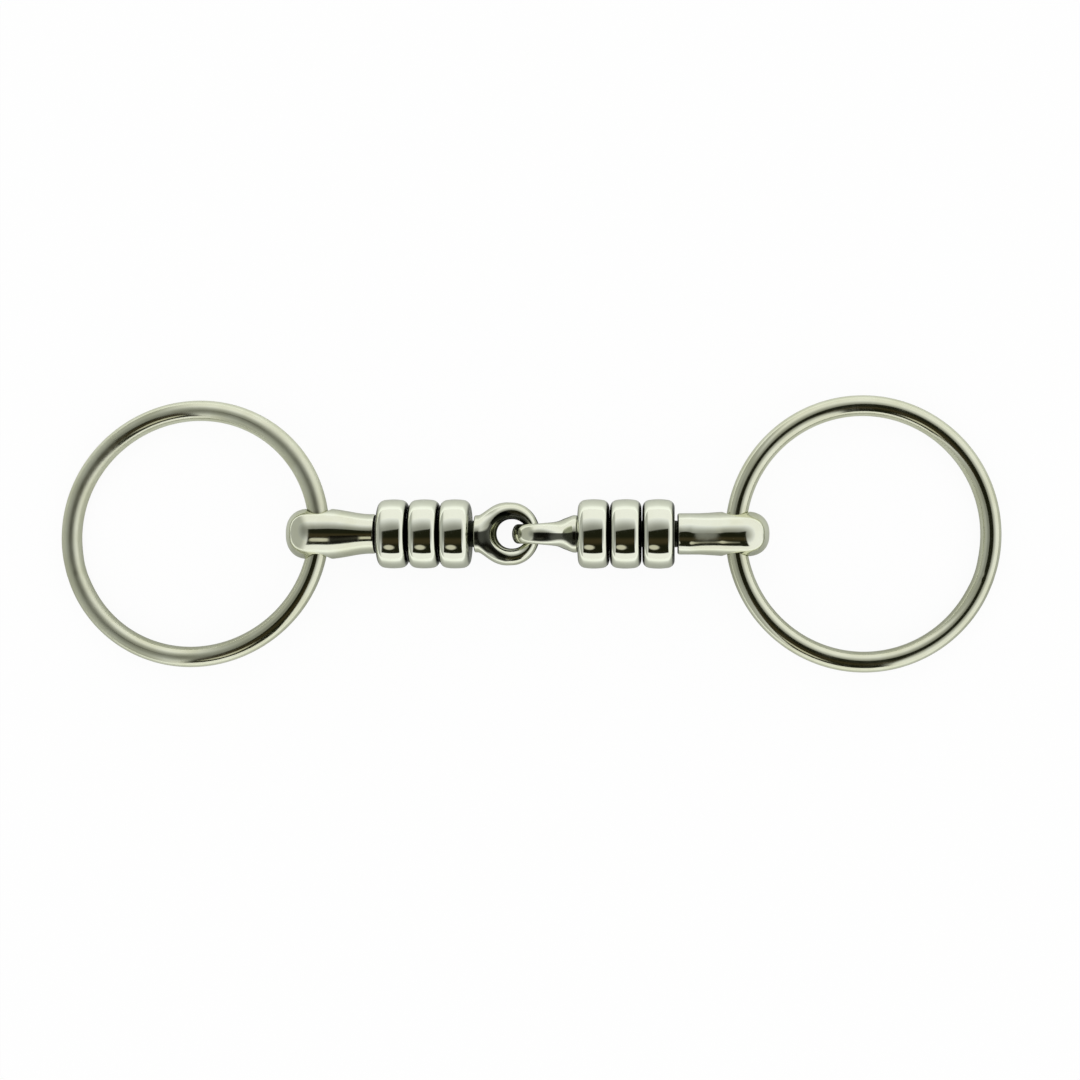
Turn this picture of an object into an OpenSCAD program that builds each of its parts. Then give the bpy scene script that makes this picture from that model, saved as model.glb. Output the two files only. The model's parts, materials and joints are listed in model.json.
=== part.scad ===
// Loose-ring snaffle bit with a single-jointed mouthpiece and rollers
// on both arms, lying flat on a table.
// +X runs along the mouthpiece to the right ring, +Y runs across it,
// +Z points up from the table. The origin is the centre joint.
// Each arm is drawn in its own frame: ring hole's axis through the origin,
// +X along the arm towards the joint, eye plane XY.
// Units: millimetres.

/* [Mouthpiece] */
// Inside width between the two rings, the size the bit is sold by
mouth_w = 122; // [122:8:130]
// Distance from the ring hole's axis to the inner face of the hub end
butt_l = 17.8; // [17.2:0.1:18]
// Height of the arm at the hub, across the plane of its eye
hub_h = 13.7; // [13.6:0.1:14.6]
// Width of the arm at the hub, in the plane of its eye
hub_w = 15.6; // [15.2:0.1:16.8]
// Diameter of the arm where it meets the rollers
neck_d = 12.4; // [11.8:0.1:12.8]
// Radius of the hole that the ring runs in
ring_hole_r = 4.2; // [4.15:0.05:4.5]

/* [Rings] */
// Outside diameter of a ring
ring_od = 85; // [75:1:90]
// Diameter of the ring's round wire
ring_wire_d = 6.5; // [5.8:0.1:6.5]

/* [Rollers] */
// Outside diameter of a roller
roller_d = 21.3; // [19:0.1:23]
// Width of a roller along the arm
roller_w = 9.4; // [8.8:0.1:9.6]
// Radius of the rounded rims of a roller
roller_edge_r = 2.1; // [1.2:0.1:3.2]
// Gap between neighbouring rollers
roller_gap = 0.4; // [0.3:0.05:0.5]
// Running clearance of a roller on its stem, on the radius
roller_clear = 0.1; // [0.05:0.01:0.2]
// Where the left rollers rest in their end play (-1 hub, 1 joint)
left_rest = -0.1; // [-1:0.1:1]
// Where the right rollers rest in their end play (-1 hub, 1 joint)
right_rest = 0.7; // [-1:0.1:1]

/* [Eyes and stems] */
// Diameter of the stem that the rollers turn on
stem_d = 8.2; // [7:0.1:9]
// Diameter of the spigot that is pressed into the hub end
spigot_d = 7; // [5:0.1:7]
// Diameter of the collar that stops the rollers
collar_d = 11.3; // [10.5:0.1:12]
// Outside diameter of the joint eye
eye_d = 19.3; // [18.9:0.1:19.7]
// Thickness of the eye's loop, seen through the eye
eye_t = 4.8; // [4.6:0.1:4.9]
// Height of the eye's loop, along the eye's own axis
eye_h = 6; // [5.6:0.1:6]

/* [Hidden] */
$fn = 96;

steel = [0.78, 0.79, 0.72];
steel_ring = [0.74, 0.75, 0.68];
steel_roller = [0.82, 0.83, 0.77];

// Names ending in _at are places along the arm's X, from the ring hole's axis.

// reach of a cut that runs clear of the metal
cut_reach = 20;

// ring
wire_r = ring_wire_d / 2;
ring_r = ring_od / 2 - wire_r;
// axis of each ring hole, out from the centre joint
hub_x = mouth_w / 2 + wire_r;
// a ring tips until its far side lies on the table
roller_r = roller_d / 2;
ring_tip = asin((roller_r - wire_r) / (2 * ring_r));

// eye loop: a stadium section swept round the eye's axis
eye_r = eye_d / 2;
loop_half_t = eye_t / 2;
loop_half_h = eye_h / 2;
loop_r = eye_r - loop_half_t;
// play that lets the loops fold round each other
joint_play = 0.05;
// how far the loop's centreline reaches past the centre joint
loop_reach = (loop_half_t + loop_half_h + joint_play) / 2;
eye_at = hub_x + loop_reach - loop_r;

// collar
collar_at = 48.4;
collar_l = 1.1;
collar_end = collar_at + collar_l;
collar_r = collar_d / 2;
collar_chamfer = 0.3;

// spigot, its end clear of the ring hole
spigot_at = 9.8;
spigot_chamfer = 0.4;
// excess of the spigot's radius over its bore, and the bore's spare depth
press_fit = 0.01;
bore_spare = 0.2;

// rollers, loose along the stem
stem_r = stem_d / 2;
roller_bore_r = stem_r + roller_clear;
// side of the turned square that chamfers a roller's bore
bore_chamfer_side = 0.6;
rollers_l = 3 * roller_w + 2 * roller_gap;
// least gap kept at either end, and the end play that is left
end_gap = 0.1;
end_play = collar_at - butt_l - rollers_l - 2 * end_gap;

// hub end: round cap, flanks, then a taper to the neck
hub_r = hub_h / 2;
cap_at = -3.4;
flank_at = 4.6;
taper_end = 14.2;
// how far each half of the widened hub leans out at its cap
hub_lean = (hub_w - hub_h) / 2 + 0.15;
// depth of the taper's end below the neck's surface
taper_sink = 0.15;

// round neck, with a chamfer at either end
neck_r = neck_d / 2;
neck_at = 10.8;
neck_full_at = taper_end - 1.4;
neck_inset = 0.6;
neck_chamfer = 0.5;

// the hole's mouths are rounded off by this radius, about circles
// that lie this deep in the hub
mouth_r = 1.6;
mouth_depth = 0.75 * mouth_r;
// how far the cuts run into the hole and out past the hub
mouth_overlap = 0.5;
hole_overrun = 3;

// web between eye neck and loop: half its height, and where it ends
web_half_h = loop_half_h + 0.3;
web_end = eye_at - 3;
// the eye neck's cone leaves the collar's rim here, after a short lead-in
cone_at = collar_end - 0.4;
cone_lead = 0.6;
// how far the fillet's blank reaches past the cone
blank_margin = 1;

// turned body along +X, from a profile of [place along X, radius] points
module turned(profile) {
    along_x() rotate_extrude() polygon([for (point = profile) [point[1], point[0]]]);
}

// turns a body from +Z to +X
module along_x() {
    rotate([0, 90, 0]) rotate([0, 0, 90]) children();
}

// round wire ring about Z, its centreline through the origin
module wire_ring() {
    translate([ring_r, 0, 0])
        rotate_extrude() translate([ring_r, 0]) circle(r = wire_r);
}

// hole along Z with rounded mouths, for a hub that reaches half_l each way
module ring_hole(half_l) {
    mouth_at = half_l - mouth_depth;
    rotate_extrude() {
        translate([0, -half_l - hole_overrun])
            square([ring_hole_r, 2 * (half_l + hole_overrun)]);
        for (m = [0, 1]) mirror([0, m])
            difference() {
                translate([ring_hole_r - mouth_overlap, mouth_at])
                    square([mouth_r + mouth_overlap, mouth_r + hole_overrun]);
                translate([ring_hole_r + mouth_r, mouth_at])
                    circle(r = mouth_r);
            }
    }
}

// one half of the widened hub, before it leans out
module hub_half() {
    turned([[cap_at, 0], [cap_at, hub_r], [flank_at, hub_r],
            [taper_end, neck_r - taper_sink], [taper_end, 0]]);
    along_x() translate([0, 0, cap_at]) sphere(r = hub_r);
}

// hub end of an arm. hole_dir is "y" for a ring hole in the eye plane,
// "z" for one across it
module butt(hole_dir) {
    difference() {
        union() {
            // the halves lean apart in the eye plane and meet at the neck
            for (m = [0, 1]) mirror([0, m, 0])
                translate([cap_at, hub_lean, 0])
                    rotate([0, 0, -atan2(hub_lean, taper_end - cap_at)])
                        translate([-cap_at, 0, 0]) hub_half();
            // round neck up to the rollers
            turned([[neck_at, 0], [neck_at, neck_r - neck_inset],
                    [neck_full_at, neck_r], [butt_l - neck_chamfer, neck_r],
                    [butt_l, neck_r - neck_chamfer], [butt_l, 0]]);
        }
        if (hole_dir == "y")
            rotate([90, 0, 0]) ring_hole(hub_w / 2);
        else
            ring_hole(hub_h / 2);
        // blind bore for the spigot
        translate([spigot_at - bore_spare, 0, 0]) rotate([0, 90, 0])
            cylinder(r = spigot_d / 2, h = cut_reach);
    }
}

// stadium section of the eye's loop, at radius loop_r
module loop_section() {
    half_flat = loop_half_h - loop_half_t;
    for (side = [1, -1])
        translate([loop_r, side * half_flat]) circle(r = loop_half_t);
    translate([loop_r - loop_half_t, -half_flat])
        square([2 * loop_half_t, 2 * half_flat]);
}

// cone from the collar's rim, along the tangent to the eye's outside circle
module neck_cone() {
    cone_l = eye_at - cone_at;
    tangent_angle = 180 - atan2(collar_r, cone_l)
        - acos(eye_r / norm([cone_l, collar_r]));
    tangent_at = eye_at + eye_r * cos(tangent_angle);
    tangent_r = eye_r * sin(tangent_angle);
    turned([[cone_at - cone_lead, 0], [cone_at - cone_lead, collar_r],
            [cone_at, collar_r], [tangent_at, tangent_r],
            [web_end, tangent_r], [web_end, 0]]);
}

// side view of the eye neck: a blank with a fillet cut above and below.
// The fillet's circle stands on the web and meets the collar's rim
module neck_outline() {
    fillet_l = web_end - collar_end;
    fillet_depth = collar_r - web_half_h;
    fillet_r = (fillet_l * fillet_l + fillet_depth * fillet_depth)
        / (2 * fillet_depth);
    difference() {
        translate([cone_at - blank_margin, -collar_r - blank_margin])
            square([web_end - cone_at + blank_margin,
                    2 * (collar_r + blank_margin)]);
        for (m = [0, 1]) mirror([0, m])
            translate([web_end, web_half_h + fillet_r]) circle(r = fillet_r);
    }
}

// neck between collar and eye, open inside the loop
module eye_neck() {
    difference() {
        intersection() {
            neck_cone();
            rotate([90, 0, 0])
                linear_extrude(height = 3 * eye_r, center = true)
                    neck_outline();
        }
        translate([eye_at, 0, -cut_reach])
            cylinder(r = loop_r, h = 2 * cut_reach);
    }
}

// joint eye, neck, collar, stem and spigot in one piece
module eye_stem() {
    spigot_r = spigot_d / 2 + press_fit;
    translate([eye_at, 0, 0]) rotate_extrude() loop_section();
    eye_neck();
    turned([[spigot_at, 0], [spigot_at, spigot_r - spigot_chamfer],
            [spigot_at + spigot_chamfer, spigot_r], [butt_l, spigot_r],
            [butt_l, stem_r], [collar_at, stem_r],
            [collar_at, collar_r - collar_chamfer],
            [collar_at + collar_chamfer, collar_r],
            [collar_end, collar_r], [collar_end, 0]]);
}

// half section of a roller, with rounded rims and a chamfered bore
module roller_section() {
    rim_r = roller_r - roller_edge_r;
    difference() {
        union() {
            translate([roller_bore_r, 0])
                square([rim_r - roller_bore_r, roller_w]);
            translate([roller_bore_r, roller_edge_r])
                square([roller_r - roller_bore_r, roller_w - 2 * roller_edge_r]);
            for (y = [roller_edge_r, roller_w - roller_edge_r])
                translate([rim_r, y]) circle(r = roller_edge_r);
        }
        for (y = [0, roller_w])
            translate([roller_bore_r, y]) rotate(45)
                square([bore_chamfer_side, bore_chamfer_side], center = true);
    }
}

// roller i on a stem, counted from 0 at the hub. rest says where the
// three rollers lie in their end play
module roller(i, rest) {
    roller_at = butt_l + end_gap + end_play * (1 + rest) / 2
        + i * (roller_w + roller_gap);
    translate([roller_at, 0, 0]) rotate([0, 90, 0])
        rotate_extrude() roller_section();
}

// Place an arm's part, hub out to the left or to the right. The right
// arm is turned a quarter turn about its own length, to cross the eyes
module left_arm() { translate([-hub_x, 0, 0]) children(); }
module right_arm() {
    mirror([1, 0, 0]) translate([-hub_x, 0, 0]) rotate([90, 0, 0]) children();
}

module left_ring() {
    color(steel_ring) translate([-hub_x, 0, 0])
        rotate([0, -ring_tip, 0]) mirror([1, 0, 0]) wire_ring();
}
module right_ring() {
    color(steel_ring) translate([hub_x, 0, 0])
        rotate([0, ring_tip, 0]) wire_ring();
}
// both ring holes run along Y once the arms are placed
module left_butt() { color(steel) left_arm() butt("y"); }
module right_butt() { color(steel) right_arm() butt("z"); }
module left_eye_stem() { color(steel) left_arm() eye_stem(); }
module right_eye_stem() { color(steel) right_arm() eye_stem(); }
module left_roller(i) { color(steel_roller) left_arm() roller(i, left_rest); }
module right_roller(i) { color(steel_roller) right_arm() roller(i, right_rest); }

left_ring();
left_butt();
left_eye_stem();
left_roller(0);  // left_roller_1
left_roller(1);  // left_roller_2
left_roller(2);  // left_roller_3
right_ring();
right_butt();
right_eye_stem();
right_roller(0);  // right_roller_1
right_roller(1);  // right_roller_2
right_roller(2);  // right_roller_3
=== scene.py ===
"""Loose-ring snaffle bit with three loose rollers on each arm.

It lies along X with its joint near the origin and its rings at both ends,
the left ring at -X. The left arm's joint eye lies flat, with its axis along Z,
and the right arm's stands upright. The floor is below and the camera looks
down from above. Shapes are worked out in millimetres and built in metres.
"""
import json
import math

import bpy
import numpy as np
from mathutils import Matrix, Vector


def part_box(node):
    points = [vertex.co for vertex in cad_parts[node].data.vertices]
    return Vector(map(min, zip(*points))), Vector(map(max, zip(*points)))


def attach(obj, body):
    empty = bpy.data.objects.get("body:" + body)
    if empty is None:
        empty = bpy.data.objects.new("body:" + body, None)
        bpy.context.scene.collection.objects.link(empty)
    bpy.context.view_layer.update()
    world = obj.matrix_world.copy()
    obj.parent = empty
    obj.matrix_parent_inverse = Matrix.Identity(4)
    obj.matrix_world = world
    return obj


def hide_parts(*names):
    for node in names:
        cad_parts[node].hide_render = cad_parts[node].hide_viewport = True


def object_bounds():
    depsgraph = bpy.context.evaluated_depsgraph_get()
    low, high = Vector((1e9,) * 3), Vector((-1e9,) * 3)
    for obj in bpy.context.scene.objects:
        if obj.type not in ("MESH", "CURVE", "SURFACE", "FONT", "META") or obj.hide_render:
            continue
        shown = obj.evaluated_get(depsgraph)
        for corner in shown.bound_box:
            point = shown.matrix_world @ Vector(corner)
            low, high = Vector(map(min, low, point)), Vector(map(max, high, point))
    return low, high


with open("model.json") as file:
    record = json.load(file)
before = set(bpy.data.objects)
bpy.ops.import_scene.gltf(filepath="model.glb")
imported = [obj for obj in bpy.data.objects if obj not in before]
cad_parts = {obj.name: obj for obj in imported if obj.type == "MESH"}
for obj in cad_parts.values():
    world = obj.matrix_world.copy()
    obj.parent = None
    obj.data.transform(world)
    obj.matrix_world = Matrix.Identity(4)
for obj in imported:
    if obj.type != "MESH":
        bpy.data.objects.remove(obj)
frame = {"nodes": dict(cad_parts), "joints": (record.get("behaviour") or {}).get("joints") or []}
CAD_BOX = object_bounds()
MM = 1000.0                             # millimetres in a metre
DEG = 180 / math.pi                     # degrees in a radian


def box_mm(node):
    low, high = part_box(node)
    return np.array(low) * MM, np.array(high) * MM


# --------------------------------------------------------------------------
# Sizes in millimetres, in each arm's own frame: x runs from the axis of the
# ring's hole towards the joint eye, y lies in the plane of the eye, z across
# --------------------------------------------------------------------------
RING_JOINT = next(j for j in frame["joints"] if j["name"] == "left_ring_swing")
HUB_X = -RING_JOINT["pos_m"][0] * MM    # from the joint to a ring hole's axis

BUTT_LOW, BUTT_HIGH = box_mm("left_butt")
CAP_END = BUTT_LOW[0] + HUB_X           # outer end of the hub
BUTT_END = BUTT_HIGH[0] + HUB_X         # inner end of the hub
CAP_START = -2.9                        # where the rounded cap begins
HOLE_R = 3.98                           # hole for the ring
BORE_R = 3.5                            # socket for the spigot

EYE_LOW, EYE_HIGH = box_mm("left_eye_stem")
SPIGOT_START = EYE_LOW[0] + HUB_X
EYE_END = EYE_HIGH[0] + HUB_X
EYE_R = EYE_HIGH[1]
EYE_X = EYE_END - EYE_R                 # the eye's axis
EYE_TIP = 8.8                           # eye axis to the loop's blunt tip
EYE_HOLE_R = 4.5
LOOP_HALF = 2.4                         # half thickness of the loop
COLLAR_R = EYE_HIGH[2]
COLLAR_X = 48.4                         # face of the collar
STEM_R = 4.1
SPIGOT_R = 3.47
SPIGOT_END = 30.0

ROLLER_BOX = {name: box_mm(name) for name in frame["nodes"] if "roller" in name}
ROLLER_BORE_R = 4.2
# the rollers lie loose: shift along X and extra width of rollers 1 to 3
ROLLER_SLIP = {"left": (0.0, -0.15, -0.38), "right": (0.25, 0.0, 0.0)}
ROLLER_EXTRA = {"left": (-0.08, -0.08, -0.08), "right": (0.45, 0.15, 0.15)}

# oval: share of the radius; turn: the oval's long axis, degrees;
# hub_at: where the hub sits, radians; weld: place of the weld, degrees
RING_BEND = {
    "left": dict(sign=-1, oval=0.0287, turn=21, hub_at=0.0, weld=197),
    "right": dict(sign=1, oval=0.0022, turn=135, hub_at=math.pi, weld=-20),
}

CELL = 0.2      # grid cell of the meshed fields
MARGIN = 0.8                            # room left round a meshed piece
TINY = 1e-9                             # keeps divisions safe


# --------------------------------------------------------------------------
# Distance fields, negative inside
# --------------------------------------------------------------------------
def smooth_min(a, b, blend):
    overlap = np.maximum(blend - np.abs(a - b), 0.0) / blend
    return np.minimum(a, b) - overlap ** 3 * blend / 6.0


def smooth_max(a, b, blend):
    return -smooth_min(-a, -b, blend)


def soft(value, start, end):
    """Smooth step from 0 at start to 1 at end."""
    share = np.clip((value - start) / (end - start), 0.0, 1.0)
    return share * share * (3 - 2 * share)


def ramp_up(value, rounding=0.6):
    """Zero below 0 and rising evenly above it, with a rounded corner."""
    return 0.5 * (value + np.sqrt(value * value + rounding))


def ellipse_distance(y, z, half_y, half_z, least_slope):
    """First-order distance to an ellipse."""
    reach = np.sqrt((y / half_y) ** 2 + (z / half_z) ** 2) + TINY
    slope = np.sqrt((y / half_y ** 2) ** 2 + (z / half_z ** 2) ** 2) / reach
    return (reach - 1) / np.maximum(slope, least_slope)


def hub_half_width(x, hole_in_plane):
    if hole_in_plane:
        narrow, swell = 6.10, 1.70
        return narrow + swell * (1 - soft(x, start=2.4, end=16.4))
    # the right arm tapers in a straight line, then flares at its end
    wide, taper, flare = 7.82, 0.212, 0.32
    fall = taper * (ramp_up(x - 4.2) - ramp_up(x - 13.5))
    return wide - fall + flare * soft(x, start=13.6, end=17.4)


def hub_half_thickness(x):
    thin, swell = 6.32, 0.55
    return thin + swell * (1 - soft(x, start=0.5, end=12.5))


def hub_field(hole_in_plane):
    """Hub end of an arm. The hole runs along y if hole_in_plane, else along z."""
    def field(x, y, z):
        width, thick = hub_half_width(x, hole_in_plane), hub_half_thickness(x)
        across = np.sqrt((y / width) ** 2 + (z / thick) ** 2) + TINY
        # the cap is shorter and rounder away from the hole's axis
        off_axis = (z / thick if hole_in_plane else y / width) ** 2 / (across * across)
        cap_x = CAP_START + 2.2 * off_axis
        cap_length = cap_x - CAP_END
        cap = np.abs(np.minimum(x - cap_x, 0.0)) / cap_length
        power = 2.35 - 0.3 * off_axis
        reach = (cap ** power + across ** power) ** (1 / power) + TINY
        # first-order distance to the stretched body
        slope_x = (cap / reach) ** (power - 1) / cap_length
        slope_across = (across / reach) ** (power - 1) / across
        slope = np.sqrt(slope_x ** 2 + (slope_across * y / width ** 2) ** 2 +
                        (slope_across * z / thick ** 2) ** 2)
        body = (reach - 1) / np.maximum(slope, 0.03)
        body = smooth_max(body, x - BUTT_END, blend=1.1)
        side = z if hole_in_plane else y
        body = smooth_max(body, HOLE_R - np.sqrt(x * x + side * side), blend=0.45)
        bore = np.maximum(np.sqrt(y * y + z * z) - BORE_R, (SPIGOT_START - 0.2) - x)
        return np.maximum(body, -bore)

    return field


def eye_field(x, y, z):
    """Eye, neck, collar, stem and spigot in one piece."""
    # loop: its outline is a circle with a slightly blunt tip
    from_eye = x - EYE_X
    blunt = np.where(from_eye > 0, from_eye * (EYE_R / EYE_TIP), from_eye)
    outline = np.sqrt(blunt * blunt + y * y) - EYE_R
    hole_x = np.clip(from_eye, -0.08, EYE_R - 2 * LOOP_HALF - EYE_HOLE_R)
    hole = np.sqrt((from_eye - hole_x) ** 2 + y * y) - EYE_HOLE_R
    half_y = np.maximum((hole - outline) / 2, 1.2)
    half_z = 3.0 + 0.38 * soft(-from_eye, start=-5.0, end=5.5)
    loop = ellipse_distance((hole + outline) / 2, z, half_y, half_z, least_slope=0.08)

    # neck: widens from the collar to the eye, thinning as it goes
    thick = 3.36 + 0.055 * np.maximum(EYE_X - 0.9 - x, 0.0) ** 1.72
    thick = smooth_min(thick, COLLAR_R - 0.02, blend=0.5)
    share = np.clip((x - COLLAR_X - 1.2) / 7.5, 0, 1)
    width = COLLAR_R - 0.05 + 3.45 * np.sin(share * math.pi / 2) ** 1.25
    neck = ellipse_distance(y, z, width, thick, least_slope=0.05)
    neck = smooth_max(neck, COLLAR_X - x, blend=0.7)
    neck = smooth_max(neck, x - (EYE_X - 1.5), blend=2.0)
    neck = smooth_max(neck, 1.5 - hole, blend=2.0)
    eye = smooth_min(loop, neck, blend=2.2)

    radius = np.sqrt(y * y + z * z)
    stem = np.maximum(np.maximum(radius - STEM_R, BUTT_END - x), x - COLLAR_X - 1.0)
    spigot = smooth_max(radius - SPIGOT_R, SPIGOT_START - x, blend=0.8)
    spigot = smooth_max(spigot, x - SPIGOT_END, blend=0.5)
    return np.minimum(np.minimum(eye, stem), spigot)


# --------------------------------------------------------------------------
# Meshing a field
# --------------------------------------------------------------------------
def sample_field(field, low, size, cell, slab=16):
    axes = [low[i] + cell * np.arange(size[i]) for i in range(3)]
    values = np.empty(size)
    for i in range(0, size[0], slab):
        x, y, z = np.meshgrid(axes[0][i:i + slab], axes[1], axes[2], indexing="ij")
        values[i:i + slab] = field(x, y, z)
    return values


def cell_points(values, cells):
    """Mean of the surface crossings on each cell's edges, in cell units."""
    corners = [np.array((x, y, z)) for z in (0, 1) for y in (0, 1) for x in (0, 1)]
    points = np.zeros((len(cells), 3))
    count = np.zeros(len(cells))
    for i, start in enumerate(corners):
        for end in corners[i + 1:]:
            if np.abs(start - end).sum() != 1:
                continue
            at_start = values[tuple((cells + start).T)]
            at_end = values[tuple((cells + end).T)]
            crossed = (at_start < 0) != (at_end < 0)
            share = at_start[crossed] / (at_start[crossed] - at_end[crossed])
            points[crossed] += start + (end - start) * share[:, None]
            count[crossed] += 1
    return cells + points / count[:, None]


def crossing_quads(inside, index):
    """A quad round every grid edge that crosses the surface."""
    size = inside.shape
    quads = []
    for axis, (first, second) in enumerate(((1, 2), (2, 0), (0, 1))):
        before = [slice(None)] * 3
        after = [slice(None)] * 3
        before[axis] = slice(0, -1)
        after[axis] = slice(1, None)
        edges = np.argwhere(inside[tuple(before)] != inside[tuple(after)])
        edges = edges[(edges[:, first] > 0) & (edges[:, second] > 0) &
                      (edges[:, first] < size[first] - 1) &
                      (edges[:, second] < size[second] - 1)]
        around = []
        for shift_first, shift_second in ((-1, -1), (0, -1), (0, 0), (-1, 0)):
            near = edges.copy()
            near[:, first] += shift_first
            near[:, second] += shift_second
            around.append(index[tuple(near.T)])
        around = np.stack(around, 1)
        starts_inside = inside[tuple(edges.T)]
        around[~starts_inside] = around[~starts_inside][:, ::-1]
        quads.append(around)
    return np.concatenate(quads)


def field_mesh(field, low, high, cell):
    """Quads on the surface field = 0, dual to a grid, with each vertex moved
    onto the true surface and evened out along it."""
    low = np.array(low, float)
    size = np.ceil((np.array(high, float) - low) / cell).astype(int) + 1
    values = sample_field(field, low, size, cell)
    inside = values < 0
    filled = np.zeros(size - 1, np.int8)
    for x, y, z in np.ndindex(2, 2, 2):
        filled += inside[x:size[0] - 1 + x, y:size[1] - 1 + y, z:size[2] - 1 + z]
    active = (filled > 0) & (filled < 8)
    cells = np.argwhere(active)
    index = -np.ones(active.shape, np.int64)
    index[active] = np.arange(len(cells))
    points = low + cell_points(values, cells) * cell
    quads = crossing_quads(inside, index)
    edges = np.concatenate([quads[:, [0, 1]], quads[:, [1, 2]],
                            quads[:, [2, 3]], quads[:, [3, 0]]])
    neighbours = np.bincount(edges.ravel(), minlength=len(points)).astype(float)

    def distance(at):
        return field(at[:, 0], at[:, 1], at[:, 2])

    def gradient(at, nudge=1e-3):
        slope = np.empty_like(at)
        for i in range(3):
            shift = np.zeros(3)
            shift[i] = nudge
            slope[:, i] = (distance(at + shift) - distance(at - shift)) / (2 * nudge)
        return slope

    def unit_normals(at):
        slope = gradient(at)
        return slope / np.maximum(np.linalg.norm(slope, axis=1), TINY)[:, None]

    def onto_surface(at, times):
        for _ in range(times):
            slope = gradient(at)
            factor = distance(at) / np.maximum((slope * slope).sum(1), TINY)
            move = np.linalg.norm(factor[:, None] * slope, axis=1)
            factor = factor * np.minimum(1.0, 0.5 * cell / np.clip(move, 1e-12, None))
            at = at - factor[:, None] * slope
        return at

    points = onto_surface(points, 3)
    for _ in range(10):
        total = np.zeros_like(points)
        for i in range(3):
            total[:, i] = (
                np.bincount(edges[:, 0], points[edges[:, 1], i], len(points)) +
                np.bincount(edges[:, 1], points[edges[:, 0], i], len(points)))
        normals = unit_normals(points)
        move = total / neighbours[:, None] - points
        move -= (move * normals).sum(1)[:, None] * normals
        points = onto_surface(points + 0.6 * move, 1)
    points = onto_surface(points, 3)
    return points, quads, unit_normals(points)


# --------------------------------------------------------------------------
# Blender objects
# --------------------------------------------------------------------------
def signed_volume(points, quads):
    a, b, c, d = (points[quads[:, i]] for i in range(4))
    return (np.einsum("ij,ij->i", a, np.cross(b, c)).sum() +
            np.einsum("ij,ij->i", a, np.cross(c, d)).sum()) / 6


def make_object(name, points, quads, normals=None, matrix=None):
    """Smooth mesh object from points in metres, its faces turned outwards."""
    if signed_volume(points, quads) < 0:
        quads = quads[:, ::-1]
    mesh = bpy.data.meshes.new(name)
    mesh.from_pydata(points.tolist(), [], quads.tolist())
    mesh.validate()
    mesh.polygons.foreach_set("use_smooth", [True] * len(mesh.polygons))
    mesh.update()
    if normals is not None:
        mesh.normals_split_custom_set_from_vertices(normals.tolist())
    ob = bpy.data.objects.new(name, mesh)
    bpy.context.scene.collection.objects.link(ob)
    if matrix is not None:
        ob.matrix_world = matrix
    return ob


def arm_to_world(vectors, side):
    """The right arm is the left one turned a quarter turn about its own
    length and mirrored."""
    x, y, z = vectors.T
    return np.stack([x, y, z] if side == "left" else [-x, -z, y], 1)


def tilt_normals(normals, roll, gain):
    """Turns the upward normals by roll degrees about X and spreads them
    along Y. The sheen moves and the shape stays."""
    turn = math.radians(roll) * np.maximum(normals[:, 2], 0.0) ** 1.5
    x, y, z = normals.T
    new_y = y * np.cos(turn) - z * np.sin(turn)
    new_z = y * np.sin(turn) + z * np.cos(turn)
    new_y = new_y * (1 + gain * np.maximum(new_z, 0.0) ** 2)
    tilted = np.stack([x, new_y, new_z], 1)
    return tilted / np.linalg.norm(tilted, axis=1)[:, None]


def field_object(name, field, low, high, side, roll=0.0, gain=0.0):
    points, quads, normals = field_mesh(field, low, high, CELL)
    points = arm_to_world(points - (HUB_X, 0, 0), side) / MM
    normals = arm_to_world(normals, side)
    if roll:
        normals = tilt_normals(normals, roll, gain)
    return make_object(name, points, quads, normals)


def hub_end(side):
    left = side == "left"
    return field_object(
        side + "_hub_end", hub_field(hole_in_plane=left),
        (CAP_END - MARGIN, -9.0, -8.0), (BUTT_END + MARGIN, 9.0, 8.0), side,
        roll=6.0 if left else -2.2, gain=0.38 if left else 0.0)


def joint_eye(side):
    return field_object(
        side + "_joint_eye", eye_field,
        (SPIGOT_START - MARGIN, -EYE_R - MARGIN, -6.6),
        (EYE_END + MARGIN, EYE_R + MARGIN, 6.6), side)


def wrapped_quads(rows, columns):
    """Quads of a grid of points closed both ways."""
    i, j = np.meshgrid(np.arange(rows), np.arange(columns), indexing="ij")
    next_i, next_j = (i + 1) % rows, (j + 1) % columns
    return np.stack([i * columns + j, next_i * columns + j,
                     next_i * columns + next_j, i * columns + next_j],
                    -1).reshape(-1, 4)


def roller_profile(width, outer, inner, edge=2.35, crown=18.0, dish=0.10, bevel=0.5):
    """Closed loop of (x, radius): crowned tread, rounded rims, faintly dished
    faces and broken bore edges. edge and crown are radii."""
    half = width / 2
    # the rim arc is tangent to the crown arc and to the side face
    crown_angle = math.asin((half - edge) / (crown - edge))
    rim_x = half - edge
    rim_r = outer - crown + (crown - edge) * math.cos(crown_angle)
    right = []
    for k in range(15):                 # crown, middle to rim
        angle = crown_angle * k / 14
        right.append((crown * math.sin(angle), outer - crown + crown * math.cos(angle)))
    for k in range(1, 25):              # rim arc to the side face
        angle = crown_angle + (math.pi / 2 - crown_angle) * k / 24
        right.append((rim_x + edge * math.sin(angle), rim_r + edge * math.cos(angle)))
    for k in range(1, 13):              # dished side face
        share = k / 13
        right.append((half - dish * math.sin(math.pi * share) ** 2,
                      rim_r + (inner + 0.55 - rim_r) * share))
    for k in range(7):                  # broken bore edge
        angle = math.pi / 2 * k / 6
        right.append((half - bevel + bevel * math.cos(angle),
                      inner + bevel - bevel * math.sin(angle)))
    for k in range(1, 4):               # bore, towards the middle
        right.append(((half - bevel) * (1 - k / 4), inner))
    return np.array(right + [(-x, radius) for x, radius in right[:0:-1]])


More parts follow.
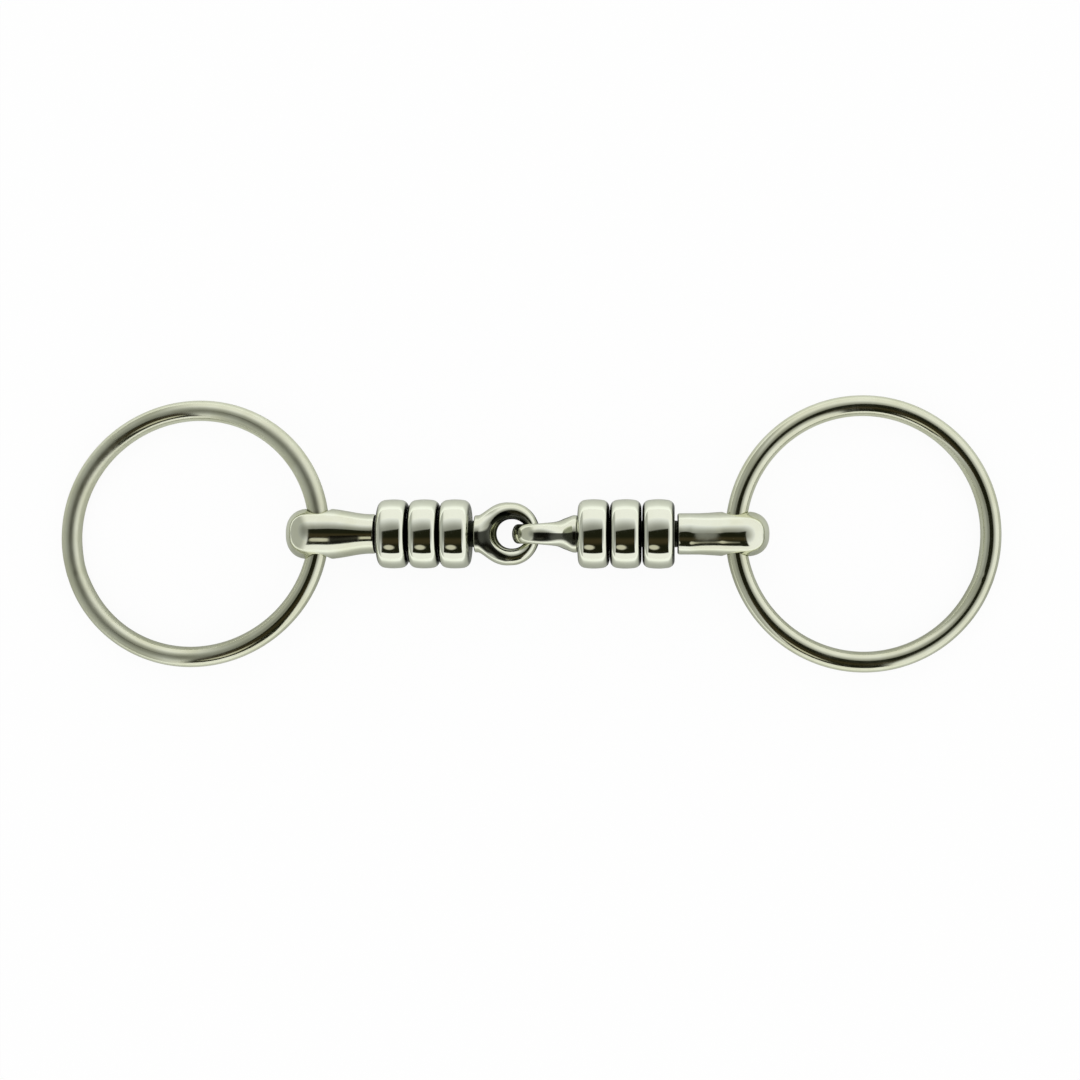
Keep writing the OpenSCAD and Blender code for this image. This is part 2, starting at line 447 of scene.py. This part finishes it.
def turned_roller(side, number, segments=144):
    low, high = ROLLER_BOX[f"{side}_roller_{number}"]
    width = high[0] - low[0] + ROLLER_EXTRA[side][number - 1]
    x = (low[0] + high[0]) / 2 + ROLLER_SLIP[side][number - 1]
    profile = roller_profile(width, outer=high[2], inner=ROLLER_BORE_R)
    turn = np.arange(segments)[:, None] / segments * 2 * math.pi
    points = np.stack([np.broadcast_to(profile[:, 0], (segments, len(profile))),
                       profile[:, 1] * np.cos(turn),
                       profile[:, 1] * np.sin(turn)], -1).reshape(-1, 3)
    quads = wrapped_quads(segments, len(profile))[:, [0, 3, 2, 1]]
    return make_object(f"{side}_turned_roller_{number}", points / MM, quads,
                       matrix=Matrix.Translation(Vector((x, 0, 0)) / MM))


def wire_ring(side, around=400, across=56):
    """Round wire bent to a ring about local Z, centred on its object's
    origin. A dressed butt weld leaves a faint waist and flat on the wire."""
    low, high = box_mm(side + "_ring")
    wire = high[2]
    radius = (high[1] - low[1]) / 2 - wire
    tip = math.asin((-low[2] - wire) / (2 * radius))
    bend = RING_BEND[side]
    centre = Vector((bend["sign"] * (HUB_X + radius * math.cos(tip)), 0,
                     -radius * math.sin(tip)))
    matrix = Matrix.Translation(centre / MM) @ Matrix.Rotation(bend["sign"] * tip, 4, "Y")

    ring_angle, wire_angle = np.meshgrid(
        np.arange(around) / around * 2 * math.pi,
        np.arange(across) / across * 2 * math.pi, indexing="ij")
    from_weld = ring_angle - math.radians(bend["weld"])
    arc = ((from_weld + math.pi) % (2 * math.pi) - math.pi) * radius
    seam = 0.05 * np.exp(-(arc / 0.9) ** 2) - 0.07 * np.exp(-(arc / 4.2) ** 2)
    flat = -0.10 * np.exp(-(arc / 3.6) ** 2) * np.maximum(-np.cos(wire_angle), 0) ** 3
    section = wire + seam + flat - 0.06

    # the ring is a little oval, and shifted so that the wire still runs
    # through the hub's hole
    oval, turn, hub_at = bend["oval"], math.radians(bend["turn"]), bend["hub_at"]
    middle = radius * (1 + oval * np.cos(2 * (ring_angle - turn)))
    shift = -math.cos(hub_at) * radius * oval * math.cos(2 * (hub_at - turn))
    reach = middle + section * np.cos(wire_angle)
    points = np.stack([reach * np.cos(ring_angle) + shift,
                       reach * np.sin(ring_angle),
                       section * np.sin(wire_angle)], -1).reshape(-1, 3)
    return make_object(side + "_wire_ring", points / MM,
                       wrapped_quads(around, across), matrix=matrix)


# --------------------------------------------------------------------------
# Shader building
# --------------------------------------------------------------------------
class Tree:
    """Short ways to add nodes. Inputs are sockets to link or plain values."""

    def __init__(self, owner):
        owner.use_nodes = True
        self.tree = owner.node_tree
        self.tree.nodes.clear()

    def node(self, kind, inputs, **settings):
        made = self.tree.nodes.new(kind)
        for key, value in settings.items():
            setattr(made, key, value)
        for key, value in inputs.items():
            if isinstance(value, bpy.types.NodeSocket):
                self.tree.links.new(value, made.inputs[key])
            else:
                made.inputs[key].default_value = value
        return made

    def math(self, operation, *values, clamp=False):
        return self.node("ShaderNodeMath", dict(enumerate(values)),
                         operation=operation, use_clamp=clamp).outputs[0]

    def add(self, a, b, clamp=False):
        return self.math("ADD", a, b, clamp=clamp)

    def times(self, a, b):
        return self.math("MULTIPLY", a, b)

    def absolute(self, value):
        return self.math("ABSOLUTE", value)

    def length(self, x, y):
        return self.math("SQRT", self.add(self.math("POWER", x, 2),
                                          self.math("POWER", y, 2)))

    def rise(self, value, low, high):
        """0 below low, 1 above high."""
        return self.node("ShaderNodeMapRange",
                         {"Value": value, "From Min": low, "From Max": high},
                         interpolation_type="SMOOTHSTEP").outputs["Result"]

    def fall(self, value, low, high):
        """1 below low, 0 above high."""
        return self.rise(self.times(value, -1.0), -high, -low)

    def band(self, value, rise, fall):
        return self.times(self.rise(value, *rise), self.fall(value, *fall))

    def coordinate(self, kind):
        return self.node("ShaderNodeTexCoord", {}).outputs[kind]

    def separate(self, vector):
        return tuple(self.node("ShaderNodeSeparateXYZ", {0: vector}).outputs)

    def vector(self, operation, vector, xyz):
        return self.node("ShaderNodeVectorMath", {0: vector, 1: xyz},
                         operation=operation).outputs[0]

    def angles(self, x, y, z):
        """Degrees of a direction from straight up: towards +Y, towards +X."""
        return (self.times(self.math("ARCTAN2", y, z), DEG),
                self.times(self.math("ARCSINE", x), DEG))

    def noise(self, vector, scale, detail, roughness):
        return self.node("ShaderNodeTexNoise",
                         {"Vector": vector, "Scale": scale, "Detail": detail,
                          "Roughness": roughness}).outputs["Fac"]

    def mix(self, factor, first, second, blend="MIX"):
        first, second = ((*colour, 1) if isinstance(colour, tuple) else colour
                         for colour in (first, second))
        return self.node("ShaderNodeMix", {0: factor, 6: first, 7: second},
                         data_type="RGBA", blend_type=blend).outputs[2]

    def bump(self, height, distance, **normal):
        return self.node("ShaderNodeBump",
                         {"Height": height, "Strength": 1.0,
                          "Distance": distance, **normal}).outputs[0]


# --------------------------------------------------------------------------
# Steel
# --------------------------------------------------------------------------
# black of the painted shade and painted dark reflections on the steel
PAINTED_SHADE_BLACK = (0.012, 0.014, 0.008)
# noise scales of the polishing lines and of the finer ones, along X, Y, Z
LINE_SCALES = {"turned": ((9000, 220, 220), (26000, 900, 900)),
               "buffed": ((5200, 700, 700), (2500, 9000, 9000))}


def line_vectors(t, marks, point, position, seed):
    if marks != "wire":
        return [t.vector("MULTIPLY", point, scale) for scale in LINE_SCALES[marks]]
    x, y, z = position
    across, along = 8000.0, 9.0 + seed
    lines = t.node("ShaderNodeCombineXYZ",
                   {0: t.times(t.length(x, y), across),
                    1: t.times(t.math("ARCTAN2", y, x), along),
                    2: t.times(z, across)}).outputs[0]
    return lines, t.vector("MULTIPLY", lines, (2.7, 3.1, 2.7))


def rein_wear(t, x, y):
    """1 on the part of the left ring away from the hub."""
    return t.add(t.fall(x, -0.034, -0.016),
                 t.times(t.rise(x, 0.016, 0.026), t.rise(y, 0.001, 0.008)),
                 clamp=True)


def steel(name, base, dark, roughness, marks, ripple, seed, painted_shade=None, worn=False):
    """Polished stainless steel. marks says how the polishing lines run:
    'turned' round the X axis, 'wire' along a ring, 'buffed' crosswise.
    ripple is the depth of the polishing waves in metres; painted_shade builds the mask of the
    places blackened with painted shade and painted dark reflections."""
    material = bpy.data.materials.new(name)
    t = Tree(material)
    coordinate = t.coordinate("Object")
    point = t.vector("ADD", coordinate, (seed * 0.37, seed * 0.11, -seed * 0.23))
    # the turned pieces are marked by their normals alone
    position = None if marks == "turned" else t.separate(coordinate)
    line_vector, fine_vector = line_vectors(t, marks, point, position, seed)
    lines = t.noise(line_vector, scale=1.0, detail=3.0, roughness=0.6)
    fine = t.noise(fine_vector, scale=1.0, detail=2.0, roughness=0.5)
    blotch = t.noise(point, scale=95.0, detail=3.0, roughness=0.55)
    cloud = t.noise(point, scale=260.0, detail=2.0, roughness=0.5)
    wave = t.noise(point, scale=120.0, detail=1.5, roughness=0.5)

    # slight warm and cool patches; a mirror polish hazier along the marks
    tone = t.mix(t.rise(blotch, 0.30, 0.72), base, dark)
    haze = t.add(t.times(t.rise(cloud, 0.35, 0.8), 0.05),
                 t.times(t.rise(lines, 0.52, 0.78), 0.06))
    haze = t.add(haze, roughness)
    if painted_shade:
        # painted shade and painted dark reflections: the mask turns the steel black and a little
        # hazier
        shade_mask = painted_shade(t, position)
        tone = t.mix(shade_mask, tone, PAINTED_SHADE_BLACK)
        haze = t.add(haze, t.times(shade_mask, 0.15))
    if worn:
        haze = t.add(haze, t.times(rein_wear(t, *position[:2]), 0.24))

    # relief: long soft ripple, then the lines
    relief = t.bump(wave, distance=ripple)
    relief = t.bump(lines, distance=0.0000012, Normal=relief)
    relief = t.bump(fine, distance=0.0000004, Normal=relief)
    shader = t.node("ShaderNodeBsdfPrincipled",
                    {"Metallic": 1.0, "Base Color": tone, "Roughness": haze,
                     "Normal": relief})
    t.node("ShaderNodeOutputMaterial", {0: shader.outputs[0]})
    return material


# Painted shade masks: 1 where painted shade or a painted dark reflection turns the steel black.
# Places are in metres.
def roller_painted_shade(open_side, steep, open_face_shade):
    """Painted shade on the side faces of a roller, between one roller and the next. open_side is
    the sign of X on which no other roller follows, 0 if there is none; open_face_shade is the
    painted shade on that free face."""
    def painted_shade(t, _position):
        normal_x = t.separate(t.coordinate("Normal"))[0]
        full = steep + 0.22
        if not open_side:
            return t.rise(t.absolute(normal_x), steep, full)
        shut = t.rise(t.times(normal_x, -open_side), steep, full)
        free = t.rise(t.times(normal_x, open_side), 0.72, 0.97)
        return t.add(shut, t.times(free, open_face_shade))
    return painted_shade


def mouth_painted_shade(t, position):
    """Painted shade on the end faces next to the rollers, and on the stems between them."""
    from_joint = t.absolute(position[0])
    hub_face = (HUB_X - BUTT_END) / MM
    collar = (HUB_X - COLLAR_X) / MM
    steep = t.rise(t.absolute(t.separate(t.coordinate("Normal"))[0]), 0.55, 0.85)
    at_hub = t.band(from_joint, rise=(hub_face - 0.0005, hub_face),
                    fall=(hub_face + 0.0010, hub_face + 0.0016))
    at_collar = t.band(from_joint, rise=(collar - 0.0011, collar - 0.0006),
                       fall=(collar, collar + 0.0004))
    ends = t.times(steep, t.add(at_hub, at_collar, clamp=True))
    stem = t.band(from_joint, rise=(collar, collar + 0.0002),
                  fall=(hub_face - 0.0002, hub_face))
    return t.add(ends, stem, clamp=True)


def hub_painted_shade_and_reflection(t, position):
    """Painted shade on the end faces, and a painted dark reflection along the middle of the left
    hub.
    """
    mouth = mouth_painted_shade(t, position)
    toward_y, toward_x = t.angles(*t.separate(t.coordinate("Reflection")))
    middle = t.band(t.absolute(position[0]),
                    rise=((HUB_X - 14.2) / MM, (HUB_X - 12.6) / MM),
                    fall=((HUB_X - 4.8) / MM, (HUB_X - 3.2) / MM))
    low = t.band(toward_y, rise=(-67.0, -63.0), fall=(-30.0, -22.0))
    ahead = t.band(toward_x, rise=(-23.0, -20.0), fall=(20.0, 23.0))
    on_left = t.rise(t.times(position[0], -1.0), 0.0, 0.001)
    # painted dark reflection: the steel goes black where it would mirror the dark figure
    painted_reflection = t.times(t.times(middle, low), t.times(ahead, on_left))
    return t.add(mouth, t.times(painted_reflection, 0.93), clamp=True)


def eye_painted_shade_and_reflection(side):
    """Adds a painted dark reflection in the neck's hollow, and on the left painted shade on the
    inside of the loop.
    """
    left = side == "left"

    def painted_shade(t, position):
        x, y, _ = position
        mask = mouth_painted_shade(t, position)
        toward_y, toward_x = t.angles(*t.separate(t.coordinate("Reflection")))
        neck = t.band(t.times(x, -1.0 if left else 1.0),
                      rise=(0.0045, 0.0065) if left else (0.0003, 0.0018),
                      fall=(0.0165, 0.0175))
        low = t.band(toward_y, rise=(-92.0, -68.0), fall=(8.0, 20.0))
        # painted dark reflection in the neck's hollow, set by the reflection direction
        hollow = t.times(t.times(neck, low), t.rise(toward_x, -34.0, -22.0))
        mask = t.add(mask, t.times(hollow, 0.92), clamp=True)
        if left:
            # painted shade inside the loop, on its +Y side
            from_eye = t.add(x, (HUB_X - EYE_X) / MM)
            slanted = t.add(y, t.times(from_eye, 0.35))
            inside = t.times(t.fall(t.length(from_eye, y), 0.0062, 0.0072),
                             t.rise(slanted, 0.0006, 0.0026))
            mask = t.add(mask, t.times(inside, 0.93), clamp=True)
        return mask
    return painted_shade


def mouth_steel(name, roughness, painted_shade):
    return steel(name, base=(0.80, 0.82, 0.69), dark=(0.74, 0.75, 0.58),
                 roughness=roughness, marks="buffed", ripple=0.000010, seed=5,
                 painted_shade=painted_shade)


def roller_steel(side, open_side):
    left = side == "left"
    painted_shade = roller_painted_shade(float(open_side), steep=0.64 if left else 0.57,
                             open_face_shade=0.7 if left else 0.2)
    return steel(f"roller_steel_{side}_{open_side + 1}",
                 base=(0.82, 0.84, 0.71), dark=(0.78, 0.80, 0.66),
                 roughness=0.05, marks="turned", ripple=0.000006, seed=8,
                 painted_shade=painted_shade)


RING_STEEL = {
    side: steel(name, base=(0.74, 0.755, 0.60), dark=(0.66, 0.67, 0.50),
                roughness=0.105, marks="wire", ripple=0.000010, seed=seed,
                worn=side == "left")
    for side, name, seed in (("right", "ring_steel", 3),
                             ("left", "ring_steel_worn", 4))}
HUB_STEEL = mouth_steel("mouthpiece_steel", 0.085, hub_painted_shade_and_reflection)
EYE_STEEL = {side: mouth_steel("mouthpiece_steel_" + side, 0.10, eye_painted_shade_and_reflection(side))
             for side in ("left", "right")}
ROLLER_STEEL = {key: roller_steel(*key)
                for key in (("left", 0), ("left", 1), ("right", 0), ("right", -1))}


# --------------------------------------------------------------------------
# Pieces
# --------------------------------------------------------------------------
def fit(ob, material, rides, replaces):
    ob.data.materials.append(material)
    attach(ob, rides)
    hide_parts(replaces)


for side in ("left", "right"):
    arm = side + "_arm"
    fit(hub_end(side), HUB_STEEL, arm, side + "_butt")
    fit(joint_eye(side), EYE_STEEL[side], arm, side + "_eye_stem")
    for number in (1, 2, 3):
        roller = f"{side}_roller_{number}"
        open_side = 0 if number < 3 else (1 if side == "left" else -1)
        fit(turned_roller(side, number), ROLLER_STEEL[side, open_side],
            roller, roller)
    ring = side + "_ring"
    fit(wire_ring(side), RING_STEEL[side], ring, ring)


# --------------------------------------------------------------------------
# Floor, world and camera
# --------------------------------------------------------------------------
def floor_material():
    """Even and pale to the camera; to other rays a table with painted shadow, darker near the
    bit and on its -Y side.
    """
    material = bpy.data.materials.new("studio_floor")
    t = Tree(material)
    camera_ray = t.node("ShaderNodeLightPath", {}).outputs["Is Camera Ray"]
    x, y, _ = t.separate(t.node("ShaderNodeNewGeometry", {}).outputs["Position"])
    # painted shadow: the table is darker on the -Y side and near the bit
    painted_near_shadow = t.mix(t.rise(y, -0.03, 0.03), (0.47, 0.48, 0.455), (0.72, 0.735, 0.71))
    table = t.mix(t.rise(t.absolute(y), 0.012, 0.11), painted_near_shadow, (1.12, 1.14, 1.14))
    # little light reaches the table under the joint
    under_joint = t.times(t.fall(t.absolute(x), 0.009, 0.018),
                          t.fall(t.absolute(y), 0.006, 0.014))
    table = t.mix(under_joint, table, (0.06, 0.065, 0.045))
    colour = t.mix(camera_ray, table, (0.07, 0.07, 0.07))
    diffuse = t.node("ShaderNodeBsdfDiffuse", {"Color": colour})
    glow = t.node("ShaderNodeEmission", {"Color": (1, 1, 1, 1),
                                         "Strength": t.times(camera_ray, 0.925)})
    both = t.node("ShaderNodeAddShader", {0: diffuse.outputs[0], 1: glow.outputs[0]})
    t.node("ShaderNodeOutputMaterial", {0: both.outputs[0]})
    return material


# (polar angle from straight up / 180 degrees, brightness): dim crown
# overhead, bright walls, dimmer again near the floor
TENT_STOPS = [(0.0, 0.23), (0.12, 0.27), (0.22, 0.58), (0.34, 1.18),
              (0.42, 1.38), (0.485, 1.18), (0.52, 0.92), (1.0, 0.66)]


def tent_colour(value):
    """Bright cloth is neutral, dim cloth a little warm."""
    return (value, value * 1.01, value * (0.90 + 0.17 * min(value, 1.0)), 1)


def tent(t, x, z):
    """Cloth tent, with its wall on the -X side darker."""
    polar = t.times(t.math("ARCCOSINE", z), DEG)
    ramp = t.node("ShaderNodeValToRGB", {0: t.math("DIVIDE", polar, 180.0)})
    ramp.color_ramp.interpolation = "B_SPLINE"
    elements = ramp.color_ramp.elements
    for element, (place, value) in zip(elements, (TENT_STOPS[0], TENT_STOPS[-1])):
        element.position = place
        element.color = tent_colour(value)
    for place, value in TENT_STOPS[1:-1]:
        elements.new(place).color = tent_colour(value)
    wall = t.mix(t.fall(x, -0.62, -0.30), (1, 1, 1), (0.47, 0.48, 0.46))
    return t.mix(1.0, ramp.outputs[0], wall, blend="MULTIPLY")


def add_figure(t, background, toward_y, toward_x):
    """Dark figure overhead, with a pale spot in it. Bounds in degrees."""
    slanted = t.math("SUBTRACT", t.times(toward_x, 0.24), toward_y)
    mask = t.times(t.band(toward_x, rise=(-23.5, -20.5), fall=(20.5, 23.5)),
                   t.times(t.rise(toward_y, -70.0, -67.0),
                           t.rise(slanted, -15.5, -12.0)))
    # oval spot centred on (-8.5, -46), with half axes 10.5 and 9.5
    spot_x = t.math("DIVIDE", t.add(toward_x, 8.5), 10.5)
    spot_y = t.math("DIVIDE", t.add(toward_y, 46.0), 9.5)
    spot = t.math("SUBTRACT", 1.0, t.rise(t.length(spot_x, spot_y), 0.62, 1.12))
    brown = t.band(toward_y, rise=(-42.0, -26.0), fall=(-22.0, -8.0))
    colour = t.mix(brown, (0.012, 0.013, 0.006), (0.042, 0.034, 0.016))
    return t.mix(mask, background, t.mix(spot, colour, (0.62, 0.60, 0.50)))


def make_world():
    """The tent shows in reflections only; other light is plain."""
    world = bpy.data.worlds.new("studio")
    bpy.context.scene.world = world
    t = Tree(world)
    x, y, z = t.separate(t.coordinate("Generated"))
    scenery = add_figure(t, tent(t, x, z), *t.angles(x, y, z))
    ray = t.node("ShaderNodeLightPath", {}).outputs
    seen = t.mix(ray["Is Camera Ray"], scenery, (0.93, 0.93, 0.92))
    colour = t.mix(ray["Is Diffuse Ray"], seen, (1.0, 1.0, 0.99))
    light = t.node("ShaderNodeBackground", {"Color": colour, "Strength": 1.0})
    t.node("ShaderNodeOutputWorld", {0: light.outputs[0]})


def make_camera():
    """Above the bit, right of the joint, turned a little about Y."""
    data = bpy.data.cameras.new("camera")
    data.sensor_width = 36.0
    data.lens = 70.633333
    data.shift_y = -0.005648148
    data.clip_start = 0.01
    data.clip_end = 20.0
    camera = bpy.data.objects.new("camera", data)
    bpy.context.scene.collection.objects.link(camera)
    camera.matrix_world = (Matrix.Translation((0.046, 0.0, 0.650)) @
                           Matrix.Rotation(math.radians(3.67), 4, "Y"))
    bpy.context.scene.camera = camera


# a box is a pair of corners, or a dict with "lo" and "hi"
low_corner = CAD_BOX["lo"] if isinstance(CAD_BOX, dict) else CAD_BOX[0]
FLOOR_GAP = 0.00002
bpy.ops.mesh.primitive_plane_add(size=6.0, location=(0, 0, low_corner[2] - FLOOR_GAP))
floor = bpy.context.object
floor.name = "studio_floor"
floor.data.materials.append(floor_material())
make_world()
make_camera()
bpy.context.scene.view_settings.view_transform = "Standard"
bpy.context.scene.view_settings.look = "None"
